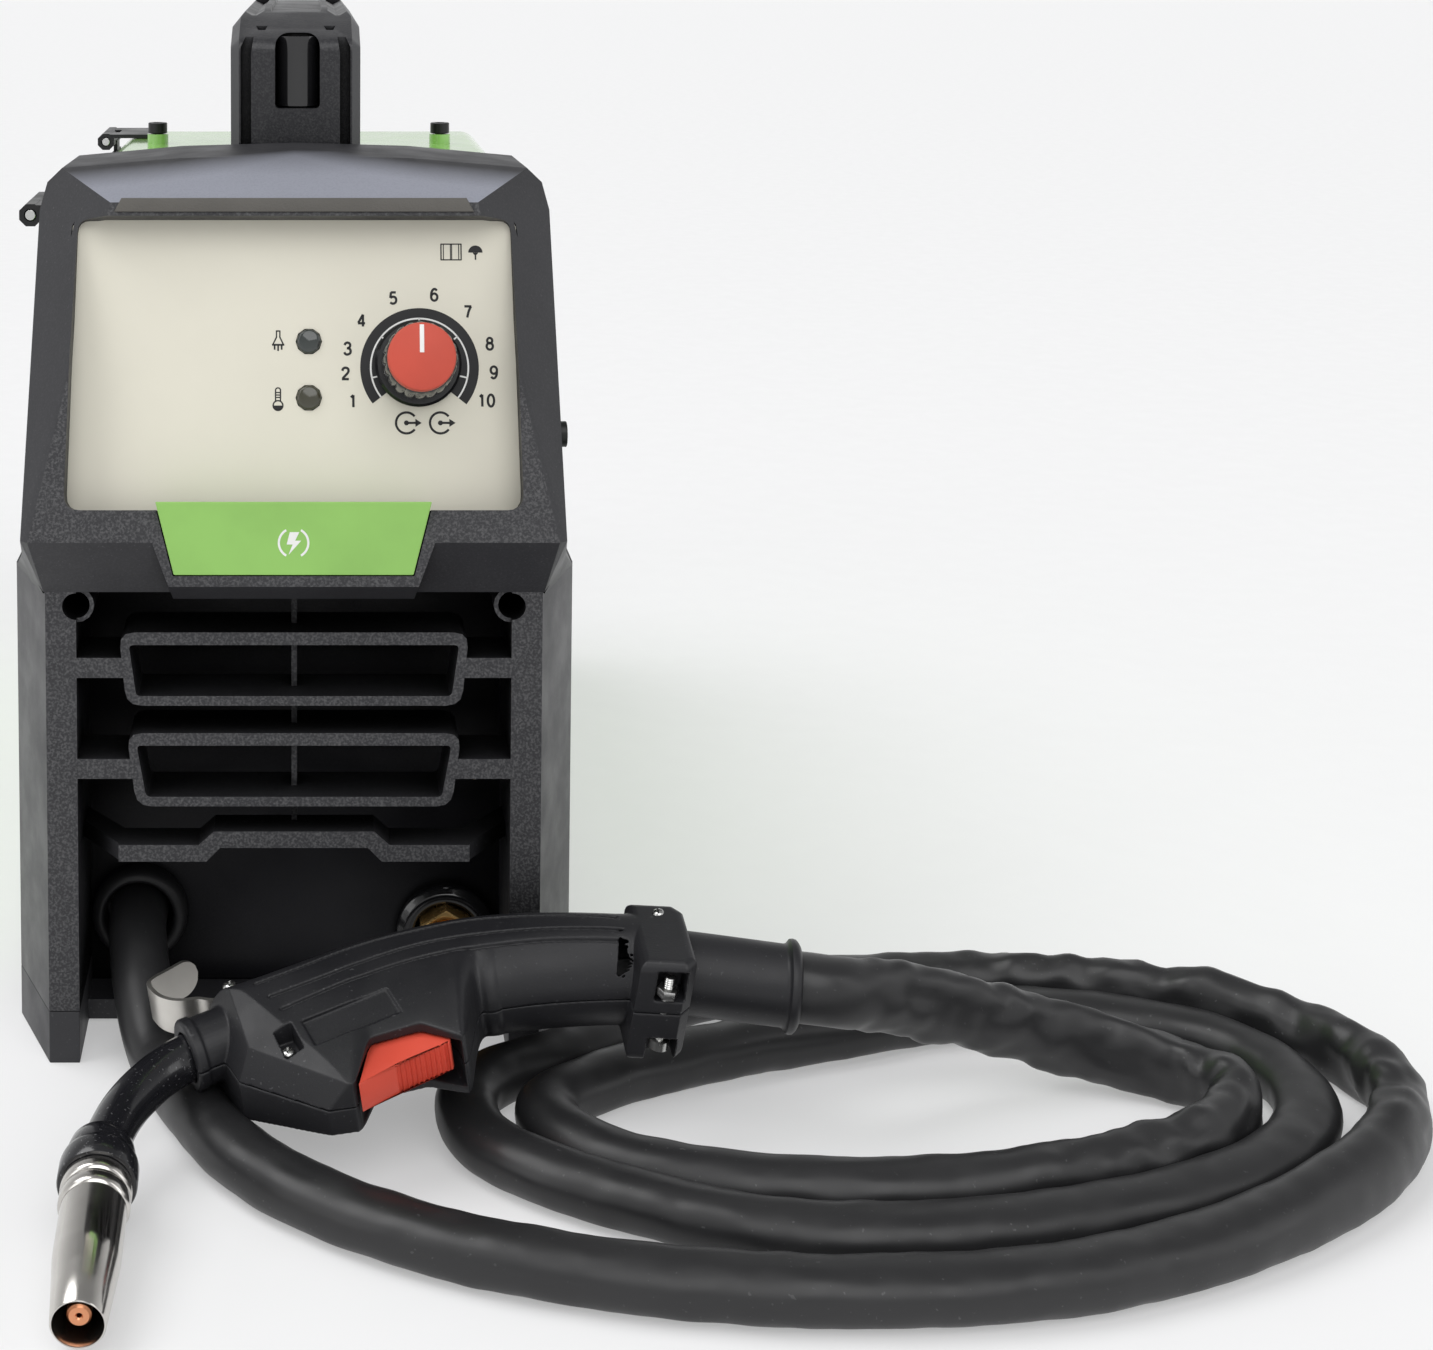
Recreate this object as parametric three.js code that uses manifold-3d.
// A portable MIG welding machine with its torch lying in front of it.
// Millimetres, +Z up, +X to the operator's right, +Y from the front of the machine to its back.
// The origin is on the floor, under the middle of the case.

import * as THREE from 'three';
import { ConvexGeometry } from 'three/addons/geometries/ConvexGeometry.js';
import { mergeVertices } from 'three/addons/utils/BufferGeometryUtils.js';
import Module from 'manifold-3d';

const wasm = await Module();
wasm.setup();

// ---------------------------------------------------------------- driving dimensions

const CASE_DEPTH = 430;
const FRONT = -CASE_DEPTH / 2;
const GAP = 0.3;
const SHEET = 1.5;

const FOOT_TOP = 17.4;
const BODY_HALF = 93.5;
const PILLAR_INNER = 70.1;
const PILLAR_FACE = 80;
const CHAMFER_DEPTH = 34;
const PILLAR_BACK = 60;
const SHOULDER_LOW = 157;
const SHOULDER_HIGH = 168;

const COVER_HALF = 89.5;
const COVER_TOP = 270.5;
const COVER_RADIUS = 8;
const COVER_BACK = 425;
const DOOR_TOP = 262;

const FRONT_PLATE_DEPTH = 42.2;
const GROMMET = { x: -53.3, z: 33.4, hole: 11.7, outer: 16.5 };
const SOCKET = { x: 51.8, z: 26, outer: 17 };

const FACE_TILT = Math.atan2(30, 105);
const PANEL_ORIGIN = { depth: 15.6, z: 230 };
const DIAL = { x: 40.3, y: -1.2, grip: 22.5, top: 27.6 };
const LEDS = { x: 4.8, powerY: 6.2, thermalY: -12.1, radius: 4 };

const HINGE = { x: -94.2, z: 269, knuckle: 4.3, pin: 2 };
const HINGE_DEPTHS = { front: 86, rear: 382 };
const HINGE_LENGTH = 40;
const LATCH = { depth: 240, z: 27 };

const BULKHEAD_X = -8;
const SPOOL = { depth: 284, z: 140, radius: 100, bore: 25.4, near: -18, far: -73 };
const WIRE_X = GROMMET.x;
const DRIVE = { depth: 110, z: 21.4, radius: 12 };
const IDLER = { depth: 110, z: 43.4, radius: 9.5 };
const ARM_PIVOT = { depth: 130, z: 47 };

const FAN = { x: 42, z: 150, half: 40, depth: 385 };
const SWITCH = { x: -50, z: 222 };
const GLAND = { x: -50, z: 60 };

const TORCH = { x: -54.9, y: -368.6, z: 9.5, tiltX: 7.5, tiltY: -8 };
const CABLE = { halfWidth: 9, halfHeight: 7.5, floor: 7.8 };

// ---------------------------------------------------------------- materials

const material = (color, roughness, metalness = 0) =>
  new THREE.MeshStandardMaterial({ color, roughness, metalness });

const TEXTURED_BLACK = material(0x2a2a2c, 0.62);
const SMOOTH_BLACK = material(0x1b1b1d, 0.38);
const RUBBER = material(0x202022, 0.55);
const GREEN = material(0x5fb53c, 0.4);
const CREAM = material(0xdedac8, 0.5);
const RED = material(0xd8402c, 0.5);
const BRASS = material(0xc89a48, 0.3, 1);
const STEEL = material(0xb9bab8, 0.3, 1);
const CHROME = material(0xd4d2cc, 0.15, 1);
const COPPER = material(0xc6744a, 0.35, 1);
const ALUMINIUM = material(0xb4b6b8, 0.45, 1);
const BOARD = material(0x1f6b45, 0.6);
const LENS = material(0x55675a, 0.2);
const FERRITE = material(0x3b3b3e, 0.7);

// ---------------------------------------------------------------- solid helpers

function toSolid(geometry) {
  const bare = geometry.clone();
  bare.deleteAttribute('normal');
  bare.deleteAttribute('uv');
  const merged = mergeVertices(bare, 1e-4);
  const corners = merged.index.array;
  const kept = [];
  for (let i = 0; i < corners.length; i += 3) {
    const [a, b, c] = [corners[i], corners[i + 1], corners[i + 2]];
    if (a !== b && b !== c && a !== c) kept.push(a, b, c);
  }
  return new wasm.Manifold(new wasm.Mesh({
    numProp: 3,
    vertProperties: new Float32Array(merged.attributes.position.array),
    triVerts: new Uint32Array(kept),
  }));
}

function toGeometry(solid) {
  const mesh = solid.getMesh();
  const geometry = new THREE.BufferGeometry();
  geometry.setAttribute('position', new THREE.BufferAttribute(mesh.vertProperties, 3));
  geometry.setIndex(new THREE.BufferAttribute(mesh.triVerts, 1));
  geometry.computeVertexNormals();
  return geometry;
}

// Joins every geometry of the first list and cuts every geometry of the second list from it.
function carve(joined, cuts = []) {
  let solid = toSolid(joined[0]);
  for (const geometry of joined.slice(1)) solid = solid.add(toSolid(geometry));
  for (const geometry of cuts) solid = solid.subtract(toSolid(geometry));
  return toGeometry(solid);
}

// Points here are [x, depth behind the front plane, z].
const at = ([x, depth, z]) => new THREE.Vector3(x, FRONT + depth, z);
const bothSides = (points) => points.flatMap(([x, depth, z]) => [[x, depth, z], [-x, depth, z]]);
const hull = (points) => new ConvexGeometry(points.map(at));
const block = ([x0, x1], [d0, d1], [z0, z1]) => {
  const box = new THREE.BoxGeometry(x1 - x0, d1 - d0, z1 - z0);
  return box.translate((x0 + x1) / 2, FRONT + (d0 + d1) / 2, (z0 + z1) / 2);
};

// The hull points of a pocket that leaves clearance on every side of the piece they describe.
function grown(points, clearance) {
  const signs = [-1, 1];
  return points.flatMap(([x, depth, z]) => signs.flatMap((i) => signs.flatMap((j) => signs.map((k) =>
    [x + i * clearance, depth + j * clearance, z + k * clearance]))));
}

// A closed outline through the points, with rounded corners; radius is one number, or one number a corner.
function outline(points, radius = 0) {
  const shape = new THREE.Shape();
  const corners = points.map(([x, y]) => new THREE.Vector2(x, y));
  corners.forEach((corner, i) => {
    const before = corners[(i + corners.length - 1) % corners.length];
    const after = corners[(i + 1) % corners.length];
    const wanted = Array.isArray(radius) ? radius[i] : radius;
    const reach = Math.min(wanted, corner.distanceTo(before) / 2.01, corner.distanceTo(after) / 2.01);
    const start = corner.clone().lerp(before, reach / corner.distanceTo(before));
    const end = corner.clone().lerp(after, reach / corner.distanceTo(after));
    if (i === 0) shape.moveTo(start.x, start.y);
    else shape.lineTo(start.x, start.y);
    if (reach > 0) shape.quadraticCurveTo(corner.x, corner.y, end.x, end.y);
  });
  shape.closePath();
  return shape;
}

const rectangle = (halfX, y0, y1) => [[-halfX, y0], [halfX, y0], [halfX, y1], [-halfX, y1]];

function circle(x, y, radius) {
  const shape = new THREE.Shape();
  shape.absarc(x, y, radius, 0, 2 * Math.PI);
  return shape;
}

const extrude = (shape, depth, curveSegments = 4) =>
  new THREE.ExtrudeGeometry(shape, { depth, bevelEnabled: false, curveSegments });

// An outline drawn in x and z, given thickness between two depths.
const frontal = (shape, d0, d1, curveSegments) =>
  extrude(shape, d1 - d0, curveSegments).rotateX(Math.PI / 2).translate(0, FRONT + d1, 0);

// An outline drawn in depth and z, given thickness between two x values.
const sidewise = (shape, x0, x1, curveSegments) =>
  extrude(shape, x1 - x0, curveSegments)
    .rotateX(Math.PI / 2)
    .rotateZ(Math.PI / 2)
    .translate(x0, FRONT, 0);

// Round pieces: a profile of [radius, height] pairs turned about +Z.
const turned = (profile, segments = 24) => {
  const points = profile.map(([radius, height]) => new THREE.Vector2(radius, height));
  return new THREE.LatheGeometry(points, segments).rotateX(Math.PI / 2);
};
const rod = (radius, low, high, segments = 20) =>
  turned([[0, low], [radius, low], [radius, high], [0, high]], segments);
const tube = (inner, outer, low, high, segments = 24) =>
  turned([[inner, low], [outer, low], [outer, high], [inner, high], [inner, low]], segments);

// Turns a piece made about +Z so that its +Z points at the operator, or to the operator's right.
const facingFront = (geometry, x, depth, z) =>
  geometry.rotateX(Math.PI / 2).translate(x, FRONT + depth, z);
const facingRight = (geometry, x, depth, z) =>
  geometry.rotateY(Math.PI / 2).translate(x, FRONT + depth, z);

const machine = new THREE.Group();

function piece(name, geometry, look, parent = machine) {
  const mesh = new THREE.Mesh(geometry, look);
  mesh.name = name;
  parent.add(mesh);
  return mesh;
}

// ---------------------------------------------------------------- sloping front face

// Everything on the control panel is placed in this frame: x right, y up the slope, z out of the panel.
const panelFrame = new THREE.Group();
panelFrame.position.set(0, FRONT + PANEL_ORIGIN.depth, PANEL_ORIGIN.z);
panelFrame.rotation.x = Math.PI / 2 - FACE_TILT;
panelFrame.updateMatrix();
machine.add(panelFrame);

const PANEL_OUTLINE = [[-72.8, -48.4], [72.8, -48.4], [71, 45.8], [-71, 45.8]];
const PANEL_CORNERS = [5, 5, 4, 4];
const panelShape = (margin) => outline(
  PANEL_OUTLINE.map(([x, y]) => [x + margin * Math.sign(x), y + margin * Math.sign(y)]),
  PANEL_CORNERS.map((radius) => radius + margin));

// The bar's upper edge closes the sill of the panel window.
const BADGE_POINTS = bothSides([
  [37.8, -12.6, 166.7], [43.6, -11.3, 190], [43.6, -4, 187.9], [42, -4, 180], [37.8, -6.5, 166.7],
]);

// The bezel's rear edge leans back, and the cover and the door follow it.
const bezelBack = (z) => 34 + (z - SHOULDER_HIGH) * (56 / 122);

function bezelHead() {
  const outer = hull([
    ...bothSides([
      [84, -12, 177], [59.7, 18, 281.5], [86.5, -10, 177], [85.7, 44, 276], [83.4, 47, 285],
      [78.2, 45, 290], [77, bezelBack(290), 290], [83, bezelBack(285), 285],
      [85.7, bezelBack(276), 276], [88, bezelBack(168), 168], [88, 6, 168], [40, 45, 293.3],
      [40, bezelBack(293.3), 293.3], [80.5, 0, SHOULDER_LOW + 0.6], [86, 12, SHOULDER_LOW + 0.6],
      [86, 28.5, SHOULDER_LOW + 0.6],
    ]),
    [0, 45, 294.4], [0, bezelBack(294.4), 294.4],
  ]);
  const chin = hull(bothSides([
    [44.7, -12, 177], [39.5, -12.6, 163], [38.5, -4, 156.6], [38.5, 8, 156.6], [44.7, 8, 177],
  ]));
  const shoulders = [-1, 1].map((side) => hull([
    [80.5, 0, SHOULDER_LOW], [BODY_HALF, CHAMFER_DEPTH, SHOULDER_LOW],
    [BODY_HALF, PILLAR_BACK, SHOULDER_LOW], [88, PILLAR_BACK, SHOULDER_HIGH], [88, 6, SHOULDER_HIGH],
    [88, PILLAR_BACK, SHOULDER_LOW], [80.5, 14, SHOULDER_LOW],
  ].map(([x, depth, z]) => [side * x, depth, z])));
  return [outer, chin, ...shoulders];
}

function bezelCuts() {
  const cavity = hull([
    ...bothSides([
      [82, -1.2, 183], [61, 27, 279], [82.5, 47, 278], [75, 48, 286.5], [75, 82, 286.5],
      [82.5, 80, 278], [84.5, 30, 160.4], [84.5, 9, 160.4], [80, 6, 160.4],
    ]),
    [0, 47, 290], [0, 83, 290],
  ]);
  const rearOpening = hull(bothSides([
    [84.5, 20, 160.4], [84.5, 120, 160.4], [84.5, 120, 260], [84.5, 62, 260],
    [78, 120, 268], [78, 66, 268],
  ]));
  const window = extrude(panelShape(0), 40).applyMatrix4(panelFrame.matrix);
  const panelSeat = extrude(panelShape(2.3), 8).translate(0, 0, -7.7).applyMatrix4(panelFrame.matrix);
  return [cavity, rearOpening, window, panelSeat, hull(grown(BADGE_POINTS, GAP))];
}

// ---------------------------------------------------------------- lower front of the bezel

function pillar(side) {
  const wall = 3;
  const plan = outline([
    [side * PILLAR_INNER, 0], [side * PILLAR_FACE, 0], [side * BODY_HALF, CHAMFER_DEPTH],
    [side * BODY_HALF, PILLAR_BACK], [side * (BODY_HALF - wall), PILLAR_BACK],
    [side * (BODY_HALF - wall), CHAMFER_DEPTH], [side * (PILLAR_FACE - 1.8), wall],
    [side * (PILLAR_INNER + wall), wall], [side * (PILLAR_INNER + wall), FRONT_PLATE_DEPTH - 0.7],
    [side * PILLAR_INNER, FRONT_PLATE_DEPTH - 0.7],
  ]);
  const low = FOOT_TOP + GAP;
  return extrude(plan, SHOULDER_LOW + 1 - low).translate(0, FRONT, low);
}

const LOUVRES = [
  { top: 144.3, bottom: 120.1, halfTop: 56.4, halfBottom: 54.1, armLow: 129.3, armHigh: 135.9 },
  { top: 111, bottom: 86.6, halfTop: 54.1, halfBottom: 51.1, armLow: 95.8, armHigh: 102.4 },
];
const LOUVRE_DEPTH = 22;

function louvre({ top, bottom, halfTop, halfBottom, armLow, armHigh }) {
  const corners = (inset) => [
    [-halfBottom + inset, bottom + inset], [halfBottom - inset, bottom + inset],
    [halfTop - inset, top - inset * 1.3], [-halfTop + inset, top - inset * 1.3],
  ];
  const frame = outline(corners(0), 5);
  frame.holes.push(outline(corners(3.2), 1.5));
  const arms = [-1, 1].map((side) => {
    const ends = [side * (halfBottom - 1), side * (PILLAR_INNER + 4.5)].sort((a, b) => a - b);
    return block(ends, [0, LOUVRE_DEPTH], [armLow, armHigh]);
  });
  return [frontal(frame, 0, LOUVRE_DEPTH, 3), ...arms];
}

function lowerBar() {
  const bar = outline([
    [-57, 68.1], [-28.5, 68.1], [-24, 72.7], [24, 72.7], [28.5, 68.1], [57, 68.1],
    [57, 73.7], [31, 73.7], [26, 78.2], [-26, 78.2], [-31, 73.7], [-57, 73.7],
  ]);
  const ends = [-1, 1].map((side) => hull([
    [side * 56, 0, 68.1], [side * 56, 0, 73.7], [side * 56, 14, 68.1], [side * 56, 14, 73.7],
    [side * 71, 22, 68.1], [side * 71, 22, 73.7], [side * 71, 34, 68.1], [side * 71, 34, 73.7],
  ]));
  return [frontal(bar, 0, 14), ...ends];
}

function screwTube(side) {
  return facingFront(tube(4.4, 5.8, -(FRONT_PLATE_DEPTH - 0.7), -2, 16), side * 70.2, 0, 152.8);
}

const centreRib = () => block([-0.9, 0.9], [10, 20], [74, 159]);

piece('front_bezel', carve(
  [
    ...bezelHead(), pillar(-1), pillar(1), ...LOUVRES.flatMap(louvre), ...lowerBar(),
    centreRib(), screwTube(-1), screwTube(1),
  ],
  [...bezelCuts(), ...[-1, 1].map((side) => facingFront(rod(4.4, -39, 1), side * 70.2, 0, 152.8))],
), TEXTURED_BLACK);

piece('badge_bar', hull(BADGE_POINTS), GREEN);

// ---------------------------------------------------------------- control panel

function controlPanel() {
  const plate = panelShape(2);
  plate.holes.push(circle(DIAL.x, DIAL.y, 4.2));
  plate.holes.push(circle(LEDS.x, LEDS.powerY, LEDS.radius + GAP));
  plate.holes.push(circle(LEDS.x, LEDS.thermalY, LEDS.radius + GAP));
  return extrude(plate, 2, 5).translate(0, 0, -2);
}

function led(y) {
  const dome = [[0, -14], [LEDS.radius, -14], [LEDS.radius, 0], [LEDS.radius * 0.7, 1.6], [0, 2.2]];
  return turned(dome, 20).translate(LEDS.x, y, 0);
}

function dialSkirt() {
  const flutes = 20;
  const rim = Array.from({ length: flutes * 2 }, (_, i) => {
    const angle = (i * Math.PI) / flutes;
    const radius = i % 2 ? 11.2 : 12;
    return [radius * Math.cos(angle), radius * Math.sin(angle)];
  });
  const grip = extrude(outline(rim), DIAL.grip - 1.5).translate(0, 0, 1.5);
  return carve([grip, rod(3, -12, 4), rod(14, 1.2, 3.6, 32)]).translate(DIAL.x, DIAL.y, 0);
}

function dialCap() {
  const low = DIAL.grip + GAP;
  const top = DIAL.top;
  const cap = turned([[0, low], [10.8, low], [10.8, top - 1.2], [9.8, top], [0, top]], 32);
  const pointerSlot = new THREE.BoxGeometry(1.4, 10, 1).translate(0, 6, top);
  return carve([cap], [pointerSlot]).translate(DIAL.x, DIAL.y, 0);
}

const potentiometer = () => carve(
  [rod(8.5, -19.5, -3, 24), rod(3.9, -3.4, 0.6, 20)], [rod(3.3, -14, 2, 20)],
).translate(DIAL.x, DIAL.y, 0);

piece('control_panel', controlPanel(), CREAM, panelFrame);
piece('led_power', led(LEDS.powerY), LENS, panelFrame);
piece('led_thermal', led(LEDS.thermalY), LENS, panelFrame);
piece('dial_skirt', dialSkirt(), SMOOTH_BLACK, panelFrame);
piece('dial_cap', dialCap(), RED, panelFrame);
piece('dial_potentiometer', potentiometer(), STEEL, panelFrame);
piece('control_board', extrude(outline(rectangle(58, -34, 34), 2), 1.6).translate(0, 0, -21.4),
  BOARD, panelFrame);

// ---------------------------------------------------------------- base, front plate, cover, door

function baseTray() {
  const foot = (side, d0, d1) => {
    const nose = d0 < CASE_DEPTH / 2 ? 1 : -1;
    const [tip, root] = nose > 0 ? [d0, d1] : [d1, d0];
    const plan = outline([
      [side * PILLAR_INNER, tip], [side * PILLAR_FACE, tip],
      [side * BODY_HALF, tip + nose * CHAMFER_DEPTH], [side * BODY_HALF, root],
      [side * PILLAR_INNER, root],
    ]);
    return extrude(plan, FOOT_TOP).translate(0, FRONT, 0);
  };
  const walls = [-1, 1].map((side) =>
    block([side * 88 - 1.5, side * 88 + 1.5], [50, CASE_DEPTH - 50], [4, FOOT_TOP]));
  const floor = block([-88, 88], [28, CASE_DEPTH - 8], [4, 8]);
  const frontLip = block([-72, 72], [28, 31], [1, 8]);
  const middlePad = block([-30, 30], [CASE_DEPTH / 2 - 12, CASE_DEPTH / 2 + 12], [0, 4.2]);
  const feet = [-1, 1].flatMap((side) => [foot(side, 0, 60), foot(side, CASE_DEPTH - 60, CASE_DEPTH)]);
  const plateSlot = block([-86.5, 86.5], [FRONT_PLATE_DEPTH - GAP, FRONT_PLATE_DEPTH + 1.8], [8, 20]);
  const rearSlot = block([-86.5, 86.5], [411.7, 413.8], [8, 20]);
  return carve([floor, frontLip, middlePad, ...walls, ...feet], [plateSlot, rearSlot]);
}

function frontPlate() {
  const plate = outline(rectangle(86, 8.4, 155.5), 2);
  plate.holes.push(circle(GROMMET.x, GROMMET.z, 14.8));
  plate.holes.push(circle(SOCKET.x, SOCKET.z, 13));
  return frontal(plate, FRONT_PLATE_DEPTH, FRONT_PLATE_DEPTH + SHEET, 6);
}

const COVER_SCREWS = [{ x: -67, depth: 355 }, { x: 67, depth: 355 }];
const SIDE_SCREW = { depth: 66, z: 194.5 };

// The cover is one bent sheet: right side, top, and a short lip that hangs inside the door.
function coverSection() {
  const lip = -87;
  const inner = COVER_RADIUS - SHEET;
  const section = new THREE.Shape();
  section.moveTo(COVER_HALF, FOOT_TOP + GAP);
  section.absarc(COVER_HALF - COVER_RADIUS, COVER_TOP - COVER_RADIUS, COVER_RADIUS, 0, Math.PI / 2);
  section.absarc(lip + COVER_RADIUS, COVER_TOP - COVER_RADIUS, COVER_RADIUS, Math.PI / 2, Math.PI);
  section.lineTo(lip, 250);
  section.lineTo(lip + SHEET, 250);
  section.absarc(lip + COVER_RADIUS, COVER_TOP - COVER_RADIUS, inner, Math.PI, Math.PI / 2, true);
  section.absarc(COVER_HALF - COVER_RADIUS, COVER_TOP - COVER_RADIUS, inner, Math.PI / 2, 0, true);
  section.lineTo(COVER_HALF - SHEET, FOOT_TOP + GAP);
  section.closePath();
  return section;
}

function caseCover() {
  const sheet = frontal(coverSection(), 30, COVER_BACK, 4);
  const bosses = COVER_SCREWS.map(({ x, depth }) =>
    rod(5, COVER_TOP - 0.5, COVER_TOP + 4.8, 20).translate(x, FRONT + depth, 0));
  const leaningFront = hull(bothSides([
    [100, 0, SHOULDER_HIGH + 0.6], [100, bezelBack(SHOULDER_HIGH) + 0.5, SHOULDER_HIGH + 0.6],
    [100, bezelBack(300) + 0.5, 300], [100, 0, 300],
  ]));
  const behindPillars = block([-100, 100], [0, PILLAR_BACK + 0.5], [0, SHOULDER_HIGH + 0.6]);
  const screwHoles = COVER_SCREWS.map(({ x, depth }) => rod(2.4, 250, 290, 12).translate(x, FRONT + depth, 0));
  const sideHole = facingRight(rod(2.4, 80, 100, 12), 0, SIDE_SCREW.depth, SIDE_SCREW.z);
  return carve([sheet, ...bosses], [leaningFront, behindPillars, ...screwHoles, sideHole]);
}

function sideDoor() {
  const edge = PILLAR_BACK + 0.6;
  const sheet = outline([
    [edge, FOOT_TOP + 0.8], [COVER_BACK - 0.5, FOOT_TOP + 0.8], [COVER_BACK - 0.5, DOOR_TOP],
    [bezelBack(DOOR_TOP) + 0.6, DOOR_TOP],
    [bezelBack(SHOULDER_HIGH) + 1.2, SHOULDER_HIGH + 0.8], [edge, SHOULDER_HIGH + 0.8],
  ]);
  sheet.holes.push(circle(LATCH.depth, LATCH.z, 6));
  return sidewise(sheet, -COVER_HALF, -COVER_HALF + SHEET, 6);
}

// A quarter turn of the latch swings its cam down behind the base tray's side wall.
function doorLatch() {
  const head = rod(11, COVER_HALF + GAP, COVER_HALF + 3, 24);
  const grip = new THREE.BoxGeometry(18, 4.5, 7).translate(0, 0, COVER_HALF + 6);
  const shaft = rod(5.5, COVER_HALF - 6, COVER_HALF + 1, 16);
  const cam = new THREE.BoxGeometry(22, 10, 2.4).translate(7, 0, COVER_HALF - 5.2);
  return carve([head, grip, shaft, cam])
    .rotateY(-Math.PI / 2)
    .rotateX(Math.PI / 2)
    .translate(0, FRONT + LATCH.depth, LATCH.z);
}

piece('base_tray', baseTray(), TEXTURED_BLACK);
piece('front_plate', frontPlate(), SMOOTH_BLACK);
piece('case_cover', caseCover(), GREEN);
piece('side_door', sideDoor(), GREEN);
piece('door_latch', doorLatch(), SMOOTH_BLACK);

// ---------------------------------------------------------------- door hinges

// Knuckles lie along +Y from d0 to d1, as eight-sided barrels with a bore for the pin.
const knuckle = (d0, d1) => tube(HINGE.pin + 0.3, HINGE.knuckle, -d1, -d0, 8)
  .rotateZ(Math.PI / 8)
  .rotateX(Math.PI / 2)
  .translate(HINGE.x, FRONT, HINGE.z);

const knuckleBore = (d0) => facingFront(
  rod(HINGE.pin + 0.3, -d0 - HINGE_LENGTH - 1, -d0 + 1, 12), HINGE.x, 0, HINGE.z);

function fixedLeaf(d0) {
  const top = COVER_TOP + GAP;
  const leaf = block([HINGE.x, -70], [d0, d0 + HINGE_LENGTH], [top, top + 1.8]);
  const ends = [knuckle(d0, d0 + 13), knuckle(d0 + 27, d0 + HINGE_LENGTH)];
  const middle = block([-100, -88.5], [d0 + 13, d0 + 27], [250, 280]);
  return carve([leaf, ...ends], [middle, knuckleBore(d0)]);
}

function movingLeaf(d0) {
  const outside = -COVER_HALF - GAP;
  const leaf = block([outside - 1.8, outside], [d0 + 4, d0 + HINGE_LENGTH - 4], [246, 263.5]);
  const neck = block([outside - 1.8, outside], [d0 + 13.3, d0 + 26.7], [262, 268.5]);
  return carve([leaf, neck, knuckle(d0 + 13.3, d0 + 26.7)], [knuckleBore(d0)]);
}

for (const [place, depth] of Object.entries(HINGE_DEPTHS)) {
  piece(`hinge_${place}_fixed_leaf`, fixedLeaf(depth), SMOOTH_BLACK);
  piece(`hinge_${place}_moving_leaf`, movingLeaf(depth), SMOOTH_BLACK);
  piece(`hinge_${place}_pin`, facingFront(
    rod(HINGE.pin, -depth - HINGE_LENGTH, -depth, 12), HINGE.x, 0, HINGE.z), STEEL);
}

// ---------------------------------------------------------------- carrying handle and cover screws

function carryHandle() {
  const base = COVER_TOP + GAP;
  const side = outline([
    [100, base], [100, 331], [122, 338.5], [140, 342.6], [306, 342.6], [328, 336], [340, 318],
    [344, base], [300, base], [298, 308], [286, 317], [154, 317], [144, 308], [142, base],
  ], 4);
  const body = new THREE.ExtrudeGeometry(side, {
    depth: 39, bevelThickness: 3, bevelSize: 3, bevelOffset: -3, bevelSegments: 1, curveSegments: 2,
  });
  body.rotateX(Math.PI / 2).rotateZ(Math.PI / 2).translate(-19.5, FRONT, 0);
  const slot = outline([[-7.4, 306], [8.8, 306], [8.8, 333], [-7.4, 333]], 6);
  const tongue = hull(bothSides([[12, 93, 295], [12, 104, 295], [12, 93, 300], [12, 104, 306]]));
  return carve([body, tongue], [frontal(slot, 90, 110, 3)]);
}

piece('carry_handle', carryHandle(), SMOOTH_BLACK);

const capScrew = (length) => carve(
  [rod(4.5, 0.3, 5.3, 20), rod(2, -length, 1, 12)], [rod(2.4, 3, 6, 6)]);

COVER_SCREWS.forEach(({ x, depth }) => {
  const top = COVER_TOP + 4.8;
  const name = x < 0 ? 'cover_screw_left' : 'cover_screw_right';
  piece(name, capScrew(12).translate(x, FRONT + depth, top), SMOOTH_BLACK);
});
piece('cover_screw_side', facingRight(capScrew(8), COVER_HALF, SIDE_SCREW.depth, SIDE_SCREW.z),
  SMOOTH_BLACK);

// ---------------------------------------------------------------- torch outlet and earth socket

function grommet() {
  const { hole, outer } = GROMMET;
  const front = -(FRONT_PLATE_DEPTH - GAP);
  const back = -(FRONT_PLATE_DEPTH + SHEET + GAP);
  return facingFront(turned([
    [hole, back - 4], [outer - 1, back - 4], [outer - 1, back], [14.1, back], [14.1, front],
    [outer, front], [outer, front + 4.5], [outer - 2.4, front + 7], [hole + 1.6, front + 7],
    [hole, front + 5], [hole, back - 4],
  ], 18), GROMMET.x, 0, GROMMET.z);
}

function socketFlange() {
  const front = -(FRONT_PLATE_DEPTH - GAP);
  return facingFront(turned([
    [10.9, front - 18], [12.3, front - 18], [12.3, front], [SOCKET.outer, front],
    [SOCKET.outer, front + 3], [SOCKET.outer - 1.6, front + 4.6], [12.4, front + 5.4],
    [10.9, front + 5.4], [10.9, front - 18],
  ], 18), SOCKET.x, 0, SOCKET.z);
}

function socketInsert() {
  const hexagon = rod(10.4, -72, -34.5, 6);
  return facingFront(carve([hexagon], [rod(6.8, -64, -30, 24)]), SOCKET.x, 0, SOCKET.z);
}

piece('torch_grommet', grommet(), RUBBER);
piece('socket_flange', socketFlange(), SMOOTH_BLACK);
piece('socket_insert', socketInsert(), BRASS);

// ---------------------------------------------------------------- wire feeder and spool

function bulkhead() {
  const sheet = outline([[64, 8.4], [406, 8.4], [406, 262], [92, 262], [64, 200]], 2);
  sheet.holes.push(circle(DRIVE.depth, 46, 19));
  return sidewise(sheet, BULKHEAD_X, BULKHEAD_X + SHEET, 6);
}

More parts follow.
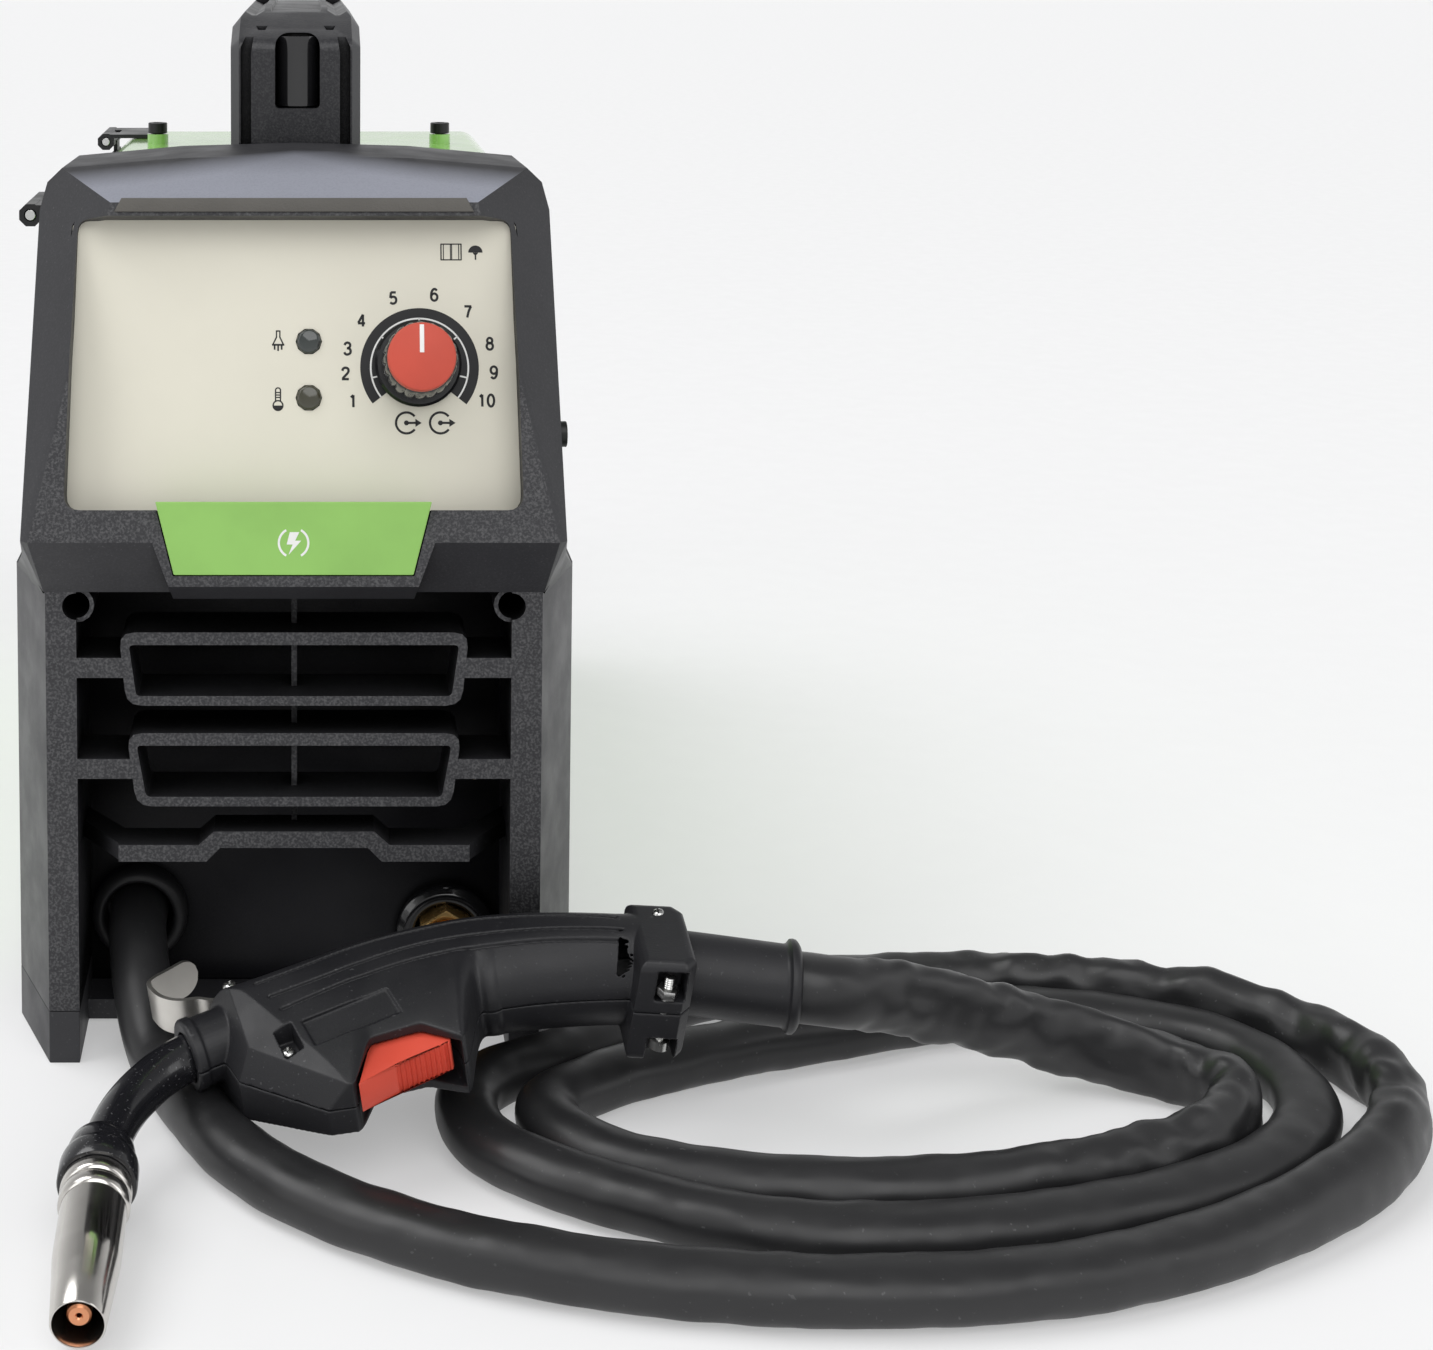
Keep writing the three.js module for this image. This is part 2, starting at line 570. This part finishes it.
function feederPlate() {
  const plate = block([-42, -37], [68, 152], [8.5, 66]);
  const foot = block([-40, BULKHEAD_X - GAP], [146, 152], [8.5, 66]);
  const outletBlock = block([WIRE_X - 6, -40], [74, 90], [26, 41]);
  const inletBlock = block([WIRE_X - 6, -40], [134, 146], [27, 40]);
  const pivot = facingRight(rod(3, -49.5, -40, 12), 0, ARM_PIVOT.depth, ARM_PIVOT.z);
  const shaftHole = facingRight(rod(4.4, -60, -30, 16), 0, DRIVE.depth, DRIVE.z);
  const wirePath = facingFront(rod(1.6, -160, -60, 8), WIRE_X, 0, GROMMET.z);
  return carve([plate, foot, outletBlock, inletBlock, pivot], [shaftHole, wirePath]);
}

const feedMotor = () => carve([
  block([-36.5, -14], [88, 132], [9, 66]),
  facingRight(rod(18, -20, 20, 20), 0, DRIVE.depth, 46),
], [facingRight(rod(4.4, -40, -26, 16), 0, DRIVE.depth, DRIVE.z)]);

const driveRoller = () => carve([
  facingRight(turned([
    [0, WIRE_X - 6], [DRIVE.radius, WIRE_X - 6], [DRIVE.radius, WIRE_X - 0.8], [DRIVE.radius - 0.7, WIRE_X],
    [DRIVE.radius, WIRE_X + 0.8], [DRIVE.radius, WIRE_X + 6], [0, WIRE_X + 6],
  ], 24), 0, DRIVE.depth, DRIVE.z),
  facingRight(rod(4, -50, -28, 12), 0, DRIVE.depth, DRIVE.z),
]);

function pressureArm() {
  const bar = sidewise(outline([
    [86, 44], [98, 37], [116, 37], [136, 41], [136, 53], [98, 53], [86, 53],
  ], 3), -46.9, -43.2, 3);
  const axle = facingRight(rod(3, WIRE_X - 6.5, -46, 12), 0, IDLER.depth, IDLER.z);
  const knobSeat = block([-56, -44], [86, 96], [48, 53]);
  const pivotBore = facingRight(rod(3.4, -60, -40, 12), 0, ARM_PIVOT.depth, ARM_PIVOT.z);
  const studBore = rod(2.9, 30, 60, 12).translate(-50.5, FRONT + 91, 0);
  return carve([bar, axle, knobSeat], [pivotBore, studBore]);
}

const idlerRoller = () =>
  facingRight(tube(3.4, IDLER.radius, WIRE_X - 6, WIRE_X + 6, 24), 0, IDLER.depth, IDLER.z);

const tensionKnob = () => carve([
  turned([[0, 53.4], [7, 53.4], [8.5, 57], [8.5, 70], [7, 73], [0, 73]], 12), rod(2.5, 43, 56, 12),
]).translate(-50.5, FRONT + 91, 0);

const spoolHub = () => carve([
  facingRight(rod(SPOOL.bore - 0.5, SPOOL.far - 1, BULKHEAD_X - 4, 32), 0, SPOOL.depth, SPOOL.z),
  facingRight(rod(38, SPOOL.near + 0.4, BULKHEAD_X - GAP, 32), 0, SPOOL.depth, SPOOL.z),
  facingRight(rod(6, SPOOL.far - 9, SPOOL.far, 16), 0, SPOOL.depth, SPOOL.z),
]);

const wireSpool = () => facingRight(turned([
  [SPOOL.bore, SPOOL.far], [SPOOL.radius, SPOOL.far], [SPOOL.radius, SPOOL.far + 3],
  [86, SPOOL.far + 3], [86, SPOOL.near - 3], [SPOOL.radius, SPOOL.near - 3],
  [SPOOL.radius, SPOOL.near], [SPOOL.bore, SPOOL.near], [SPOOL.bore, SPOOL.far],
], 24), 0, SPOOL.depth, SPOOL.z);

const spoolNut = () => facingRight(
  tube(6.4, 29, SPOOL.far - 9, SPOOL.far - 1.4, 10), 0, SPOOL.depth, SPOOL.z);

piece('bulkhead', bulkhead(), ALUMINIUM);
piece('feeder_plate', feederPlate(), ALUMINIUM);
piece('feed_motor', feedMotor(), STEEL);
piece('drive_roller', driveRoller(), STEEL);
piece('pressure_arm', pressureArm(), SMOOTH_BLACK);
piece('idler_roller', idlerRoller(), STEEL);
piece('tension_knob', tensionKnob(), SMOOTH_BLACK);
piece('spool_hub', spoolHub(), SMOOTH_BLACK);
piece('wire_spool', wireSpool(), COPPER);
piece('spool_nut', spoolNut(), SMOOTH_BLACK);

// ---------------------------------------------------------------- power electronics

function heatsink() {
  const fins = 7;
  const pitch = 12;
  const plate = block([26, 31], [150, 290], [150, 150 + pitch * (fins - 1) + 3]);
  const blades = Array.from({ length: fins }, (_, i) =>
    block([30, 66], [150, 290], [150 + i * pitch, 153 + i * pitch]));
  return carve([plate, ...blades]);
}

const transformer = () => carve([
  block([28, 74], [180, 250], [60, 118]),
  facingFront(rod(26, -262, -168, 24), 51, 0, 89),
]);

piece('power_board', sidewise(outline([[96, 8.5], [360, 8.5], [360, 240], [96, 240]], 3), 22, 24), BOARD);
piece('heatsink', heatsink(), ALUMINIUM);
piece('transformer', transformer(), FERRITE);

// ---------------------------------------------------------------- rear panel, fan, switch, mains lead

// One ring of the fan grille is cut as four arc-shaped openings.
function grilleOpening(inner, outer, quarter) {
  const start = quarter * Math.PI / 2 + 0.12;
  const end = (quarter + 1) * Math.PI / 2 - 0.12;
  const opening = new THREE.Shape();
  opening.absarc(FAN.x, FAN.z, outer, start, end);
  opening.absarc(FAN.x, FAN.z, inner, end, start, true);
  opening.closePath();
  return opening;
}

function rearPanel() {
  const plate = outline(rectangle(84.5, 8.4, 267), 3);
  for (const inner of [12, 24]) {
    for (const quarter of [0, 1, 2, 3]) plate.holes.push(grilleOpening(inner, inner + 9, quarter));
  }
  plate.holes.push(outline([
    [SWITCH.x - 14, SWITCH.z - 11], [SWITCH.x + 14, SWITCH.z - 11],
    [SWITCH.x + 14, SWITCH.z + 11], [SWITCH.x - 14, SWITCH.z + 11],
  ]));
  plate.holes.push(circle(GLAND.x, GLAND.z, 8.8));
  return frontal(plate, 412, 412 + SHEET, 4);
}

function fanFrame() {
  const { x, z, half, depth } = FAN;
  const square = outline([
    [x - half, z - half], [x + half, z - half], [x + half, z + half], [x - half, z + half]], 4);
  square.holes.push(circle(x, z, half - 2));
  const body = frontal(square, depth, depth + 25, 8);
  const strutLength = half * 2 - 2;
  const struts = [0, Math.PI / 2].map((angle) =>
    new THREE.BoxGeometry(strutLength, 3, 4).rotateY(angle).translate(x, FRONT + depth + 1.5, z));
  const motor = facingFront(rod(13, -depth - 4, -depth, 20), x, 0, z);
  return carve([body, ...struts, motor]);
}

function fanRotor() {
  const { x, z, depth } = FAN;
  const hub = facingFront(rod(13, -depth - 21, -depth - 5, 20), x, 0, z);
  const blades = Array.from({ length: 7 }, (_, i) => {
    const blade = new THREE.BoxGeometry(24, 2, 16).rotateX(0.7).translate(24, 0, 0);
    return blade.rotateY((i * 2 * Math.PI) / 7).translate(x, FRONT + depth + 13, z);
  });
  return carve([hub, ...blades]);
}

function switchBody() {
  const shell = (halfX, halfZ, d0, d1) =>
    block([SWITCH.x - halfX, SWITCH.x + halfX], [d0, d1], [SWITCH.z - halfZ, SWITCH.z + halfZ]);
  return carve(
    [shell(13.7, 10.7, 396, 414), shell(16, 13, 413.8, 415.6)], [shell(10.5, 7.5, 400, 420)]);
}

function switchRocker() {
  const plan = outline([[404, -8.6], [404, 8.6], [416, 8.6], [414, 0], [418, -8.6]]);
  return extrude(plan, 14).rotateZ(Math.PI / 2).translate(SWITCH.x, FRONT, SWITCH.z - 7);
}

const mainsGland = () => facingFront(turned([
  [5.8, -426], [8, -425], [9.5, -421], [11.5, -421], [11.5, -414.2], [8, -414.2], [8, -411],
  [11, -411], [11, -406], [5.8, -406], [5.8, -426],
], 16), GLAND.x, 0, GLAND.z);

const LEAD_RADIUS = 4.8;

// The mains lead drops behind the machine and ends in its plug.
const leadPath = new THREE.CatmullRomCurve3([
  [GLAND.x, 396, 60], [GLAND.x, 418, 60], [GLAND.x, 440, 60], [-47, 454, 48], [-38, 458, 18], [-22, 462, 6],
  [0, 465, 10], [18, 466, 16], [30.4, 466, 17],
].map(at), false, 'centripetal');

const mainsLead = () => new THREE.ExtrudeGeometry(circle(0, 0, LEAD_RADIUS), {
  steps: 20, extrudePath: leadPath, curveSegments: 2,
});

const mainsPlug = () => facingRight(turned([
  [0, 31], [7, 31], [9, 38], [16, 46], [15, 62], [0, 62],
], 16), 0, 466, 17);

piece('rear_panel', rearPanel(), SMOOTH_BLACK);
piece('fan_frame', fanFrame(), SMOOTH_BLACK);
piece('fan_rotor', fanRotor(), SMOOTH_BLACK);
piece('switch_body', switchBody(), SMOOTH_BLACK);
piece('power_switch', switchRocker(), RED);
piece('mains_gland', mainsGland(), SMOOTH_BLACK);
piece('mains_lead', mainsLead(), RUBBER);
piece('mains_plug', mainsPlug(), RUBBER);

// ---------------------------------------------------------------- torch

// The torch lies on its side. In its own frame u runs from the nozzle's mouth towards the cable,
// v away from the trigger side and w up out of the parting plane of the two handle halves.
const torch = new THREE.Group();
torch.position.set(TORCH.x, TORCH.y, TORCH.z);
torch.rotation.set(
  THREE.MathUtils.degToRad(TORCH.tiltX), THREE.MathUtils.degToRad(TORCH.tiltY), 0);
torch.updateMatrixWorld(true);
machine.add(torch);

const NECK_RADIUS = 7;
const HANDLE_HALF = 16;
const HALF_GAP = 0.15;
const PLATE = { centre: [74.9, 98.9, 12.5], turn: 0.36, slope: 0.168 };
const CLAMP = { u: 168, v: 100.8, lean: 0.27 };
const BOOT = { u: 176, v: 118.3, w: 0.5, endU: 211, endV: 114.2, endW: -7, outer: 12.3, bore: 10.6 };

const curve = (points) =>
  new THREE.CatmullRomCurve3(points.map((p) => new THREE.Vector3(...p)), false, 'centripetal');
const along = (shape, path, steps, curveSegments) =>
  new THREE.ExtrudeGeometry(shape, { steps, extrudePath: path, curveSegments });

const neckPath = curve([
  [0, 48, 0], [0, 60, 0], [1, 71, 0], [4.5, 84, 0], [10.5, 95, 0], [18, 103.5, 0], [28, 110, 0],
  [38, 114.5, 0], [60, 122, 0],
]);

// Turns a piece made about +Z so that its +Z points along the boot, from the handle to its lip.
const bootAxis = new THREE.Vector3(
  BOOT.endU - BOOT.u, BOOT.endV - BOOT.v, BOOT.endW - BOOT.w).normalize();
const alongBoot = (geometry) => geometry
  .applyQuaternion(new THREE.Quaternion().setFromUnitVectors(new THREE.Vector3(0, 0, 1), bootAxis))
  .translate(BOOT.u, BOOT.v, BOOT.w);

const boxAt = ([u0, u1], [v0, v1], [w0, w1]) =>
  new THREE.BoxGeometry(u1 - u0, v1 - v0, w1 - w0).translate((u0 + u1) / 2, (v0 + v1) / 2, (w0 + w1) / 2);

// The handle's cross-sections: how far along, front edge, back edge, how far back the front rounding
// reaches, how high its foot stands above the seam, and its power (1 is a straight slope, 2 is round).
const HANDLE_SECTIONS = [
  [28, 72.8, 120.5, 38, 8, 1.15], [40, 72.8, 123.5, 41, 8, 1.15], [55, 72.8, 129.5, 47, 8, 1.15],
  [75, 73.4, 137.4, 48, 8, 1.15], [79.5, 90.5, 138.8, 34, 10.5, 1.2], [95, 94, 142.6, 33, 11, 1.2],
  [105, 88, 144, 40, 10, 1.2], [108, 86.5, 144.4, 42, 9.5, 1.3], [110, 98, 144.5, 30, 6, 1.6],
  [113, 111, 144.6, 17, 0.6, 2], [127, 112, 143.8, 16, 0.6, 2], [146, 110.5, 140, 16, 0.6, 2],
  [160, 108, 136, 16, 0.6, 2], [166, 107, 134, 16, 0.6, 2],
];

function handleBody() {
  const back = 9;
  const rings = HANDLE_SECTIONS.map(([u, low, high, reach, foot, power]) => {
    const front = [0, 25, 50, 75, 90].map((degrees) => {
      const angle = THREE.MathUtils.degToRad(degrees);
      const across = 1 - Math.max(Math.cos(angle), 0) ** (2 / power);
      return [low + reach * across, foot + (HANDLE_HALF - foot) * Math.sin(angle) ** (2 / power)];
    });
    const half = [...front, [high - back, HANDLE_HALF], [high - 2.6, HANDLE_HALF - 2.6], [high, 7]];
    const mirrored = half.map(([v, w]) => [v, -w]).reverse();
    return [...half, ...mirrored].map(([v, w]) => new THREE.Vector3(u, v, w));
  });
  return skinned(rings);
}

// A skin over rings of points, closed by a flat end at each side.
function skinned(rings) {
  const count = rings[0].length;
  const faces = [];
  for (let ring = 0; ring < rings.length - 1; ring += 1) {
    for (let i = 0; i < count; i += 1) {
      const [a, b] = [ring * count + i, ring * count + (i + 1) % count];
      faces.push(a, a + count, b, b, a + count, b + count);
    }
  }
  const last = (rings.length - 1) * count;
  for (let i = 1; i < count - 1; i += 1) {
    faces.push(0, i, i + 1, last, last + i + 1, last + i);
  }
  const geometry = new THREE.BufferGeometry().setFromPoints(rings.flat());
  geometry.setIndex(faces);
  return geometry;
}

// The clamp end leans with the cable's boot.
const leaning = (geometry) => geometry.applyMatrix4(new THREE.Matrix4().makeShear(0, 0, 0, 0, CLAMP.lean, 0));

const alongBolt = (geometry) => geometry.rotateY(Math.atan(CLAMP.lean)).translate(CLAMP.u, CLAMP.v, 0);

function handleBlock() {
  const side = outline([[158.8, 101.8], [172.4, 97.6], [175.8, 101], [175.8, 127], [173, 131.5], [158.8, 136]]);
  return leaning(new THREE.ExtrudeGeometry(side, {
    depth: 2 * HANDLE_HALF - 5, bevelThickness: 2.5, bevelSize: 2.5, bevelOffset: -2.5, bevelSegments: 1,
    curveSegments: 1,
  }).translate(0, 0, 2.5 - HANDLE_HALF));
}

// Everything on the far side of the plane through three points, seen from inside the handle.
function beyond(corners) {
  const [a, b, c] = corners.map((point) => new THREE.Vector3(...point));
  const plane = new THREE.Plane().setFromCoplanarPoints(a, b, c);
  if (plane.distanceToPoint(new THREE.Vector3(70, 110, 0)) > 0) plane.negate();
  return new THREE.BoxGeometry(150, 150, 60)
    .translate(0, 0, 30)
    .applyQuaternion(new THREE.Quaternion().setFromUnitVectors(new THREE.Vector3(0, 0, 1), plane.normal))
    .translate(a.x, a.y, a.z);
}

// The nose is faceted: one wall faces the nozzle, one faces the trigger's side, and on the upper half
// both lean in and a third facet joins them to the top.
const NOSE = { corner: [39.3, 91.5, 0], left: [29.1, 114.3, 0], right: [66.3, 72.8, 0], peak: [43.5, 94.5, 9.4] };

function noseFacets(side) {
  const { corner, left, right, peak } = NOSE;
  if (side > 0) {
    return [
      beyond([corner, left, peak]), beyond([corner, right, peak]),
      beyond([[36.7, 114.6, 15.1], [72, 73.7, 8.1], peak]),
    ];
  }
  const below = [corner[0], corner[1], -10];
  return [beyond([corner, left, below]), beyond([corner, right, below])];
}

const TRIGGER_OUTLINE = [[75.5, 73.5], [100, 82.5], [104, 88], [99, 99.5], [82, 98], [78.5, 87]];

function handleHalf(side) {
  const collar = rod(10.6, -6, 9, 20)
    .rotateX(-Math.PI / 2)
    .rotateZ(-1.15)
    .translate(29, 110.5, 0);
  const channel = along(circle(0, 0, NECK_RADIUS + 0.5), curve([
    [4.5, 84, 0], [10.5, 95, 0], [18, 103.5, 0], [28, 110, 0], [38, 114.5, 0], [64, 123.4, 0],
  ]), 10, 4);
  const triggerPocket = extrude(outline([
    [74.3, 60], [75.5, 80], [78.5, 101], [101, 103], [106, 91], [112, 60],
  ]), 15.6).translate(0, 0, -7.8);
  const switchPocket = boxAt([84.5, 100.5], [99, 114], [-3.6, 3.6]);
  const bootSocket = alongBoot(rod(BOOT.outer + 0.4, -9, 20, 24));
  const cableRoom = alongBoot(rod(BOOT.bore, -20, 0, 16));
  const boltHole = alongBolt(rod(1.9, -20, 20, 10));
  const nutPocket = leaning(boxAt([164.2, 173], [90, 106], side > 0 ? [4, 13.5] : [-20, -8]));
  const platePocket = boxAt([-14, 14], [-5.5, 5.5], [-0.8, 4])
    .rotateZ(PLATE.turn).rotateX(PLATE.slope).translate(...PLATE.centre);
  const noseScrewPocket = boxAt([-2.9, 2.9], [-5.3, 5.3], [7.5, 17])
    .rotateZ(PLATE.turn).translate(55.8, 93, 0);
  const otherHalf = boxAt([-20, 240], [0, 200], side > 0 ? [-40, HALF_GAP] : [-HALF_GAP, 40]);
  const cuts = [
    otherHalf, channel, triggerPocket, switchPocket, bootSocket, cableRoom, boltHole, nutPocket,
    ...noseFacets(side),
  ];
  if (side > 0) cuts.push(platePocket, noseScrewPocket);
  return carve([handleBody(), handleBlock(), collar], cuts);
}

function torchTrigger() {
  const body = extrude(outline(TRIGGER_OUTLINE, 1.5), 9.2, 2).translate(0, 0, -2);
  const ribs = Array.from({ length: 7 }, (_, i) => {
    const groove = new THREE.BoxGeometry(0.9, 2.4, 20).rotateZ(0.35);
    return groove.translate(84 + i * 2.4, 76 + i * 0.92, 0);
  });
  return carve([body], ribs);
}

// A flat strip bent along a path of [u, v] points.
function bentStrip(path, thickness, low, high) {
  const points = path.map(([u, v]) => new THREE.Vector2(u, v));
  const offsets = points.map((point, i) => {
    const before = points[Math.max(i - 1, 0)];
    const after = points[Math.min(i + 1, points.length - 1)];
    const run = after.clone().sub(before).normalize();
    return new THREE.Vector2(-run.y, run.x).multiplyScalar(thickness / 2);
  });
  const left = points.map((point, i) => point.clone().add(offsets[i]));
  const right = points.map((point, i) => point.clone().sub(offsets[i])).reverse();
  return extrude(new THREE.Shape([...left, ...right]), high - low).translate(0, 0, low);
}

const torchHook = () => bentStrip([
  [46, 126.8], [39, 125.4], [31, 124.9], [26, 126.5], [20, 127], [14, 131], [10, 139.5], [24, 151],
], 1.5, -5, 7);

function alongNozzle(profile, segments) {
  return turned(profile, segments).rotateX(-Math.PI / 2);
}

const gasNozzle = () => alongNozzle([
  [6.6, 0], [7.4, 0], [9.4, 22], [9.4, 44], [10.2, 45.5], [10.2, 53], [8.4, 53], [8.4, 22], [6.6, 0],
], 20);
const nozzleInsulator = () => alongNozzle([
  [8, 53.4], [11.5, 53.4], [11.5, 61], [9.8, 69], [8, 69], [8, 53.4],
], 18);
const contactTip = () => alongNozzle([
  [0, 12], [0.7, 12], [0.7, 3], [3.3, 3], [3.3, 28], [5.6, 30], [5.6, 47.4], [0, 47.4],
], 16);

const cableBoot = () => alongBoot(turned([
  [BOOT.bore, -8.4], [BOOT.outer, -8.4], [BOOT.outer - 0.3, 31], [13.8, 31.6], [13.8, 34.4],
  [12.2, 35.6], [BOOT.bore, 35.6], [BOOT.bore, -8.4],
], 18));

const clampBolt = () => alongBolt(carve(
  [rod(1.6, -12, 12, 10), rod(3.2, 5.2, 8, 6), rod(3, -12, -9.2, 12)]));

piece('torch_handle_upper', handleHalf(1), TEXTURED_BLACK, torch);
piece('torch_handle_lower', handleHalf(-1), TEXTURED_BLACK, torch);
piece('torch_trigger', torchTrigger(), RED, torch);
piece('trigger_switch', boxAt([85, 100], [104.5, 113.5], [-3, 3]), SMOOTH_BLACK, torch);
piece('torch_clamp_bolt', clampBolt(), STEEL, torch);
piece('torch_hook', torchHook(), STEEL, torch);
piece('swan_neck', along(circle(0, 0, NECK_RADIUS), neckPath, 16, 4), SMOOTH_BLACK, torch);
piece('nozzle_insulator', nozzleInsulator(), SMOOTH_BLACK, torch);
piece('gas_nozzle', gasNozzle(), CHROME, torch);
piece('contact_tip', contactTip(), COPPER, torch);
piece('cable_boot', cableBoot(), RUBBER, torch);

// ---------------------------------------------------------------- torch cable

// The cable leaves the grommet, winds inwards through two and a half turns on the floor and rises
// into the torch's boot. Points are [x, y, height].
function torchCable() {
  const bootEnd = (run) => torch.localToWorld(
    new THREE.Vector3(BOOT.u, BOOT.v, BOOT.w).addScaledVector(bootAxis, run)).toArray();
  const { floor, halfWidth, halfHeight } = CABLE;
  const leaving = [
    [GROMMET.x, FRONT + 68, GROMMET.z], [GROMMET.x, FRONT + 48, GROMMET.z],
    [GROMMET.x, FRONT + 28, GROMMET.z - 1], [-50, FRONT + 8, 22], [-44, FRONT - 12, 10],
  ];
  const coil = [
    [-33, -254], [-16, -286], [12, -312], [52, -334], [104, -348], [160, -352], [215, -345],
    [270, -324], [316, -294], [340, -259], [334, -225], [306, -198], [260, -180], [205, -174],
    [150, -180], [118, -197], [94, -222], [66, -237], [53, -257], [61, -283], [92, -306], [140, -325],
    [195, -324], [250, -310], [293, -286], [313, -254], [304, -221], [272, -203], [225, -197],
    [175, -211], [130, -226], [96, -243], [77, -262], [92, -286], [130, -301], [185, -304],
    [238, -296], [274, -279], [290, -258],
  ].map(([x, y]) => [x, y, floor]);
  const rising = [[278, -240, 9.5], [252, -233, 15], [224, -237, 25], [196, -246, 36]];
  const path = curve([...leaving, ...coil, ...rising, bootEnd(46), bootEnd(30), bootEnd(4)]);
  const section = new THREE.Shape();
  section.absellipse(0, 0, halfHeight, halfWidth, 0, 2 * Math.PI);
  return along(section, path, 76, 4);
}

piece('torch_cable', torchCable(), RUBBER);

export default machine;
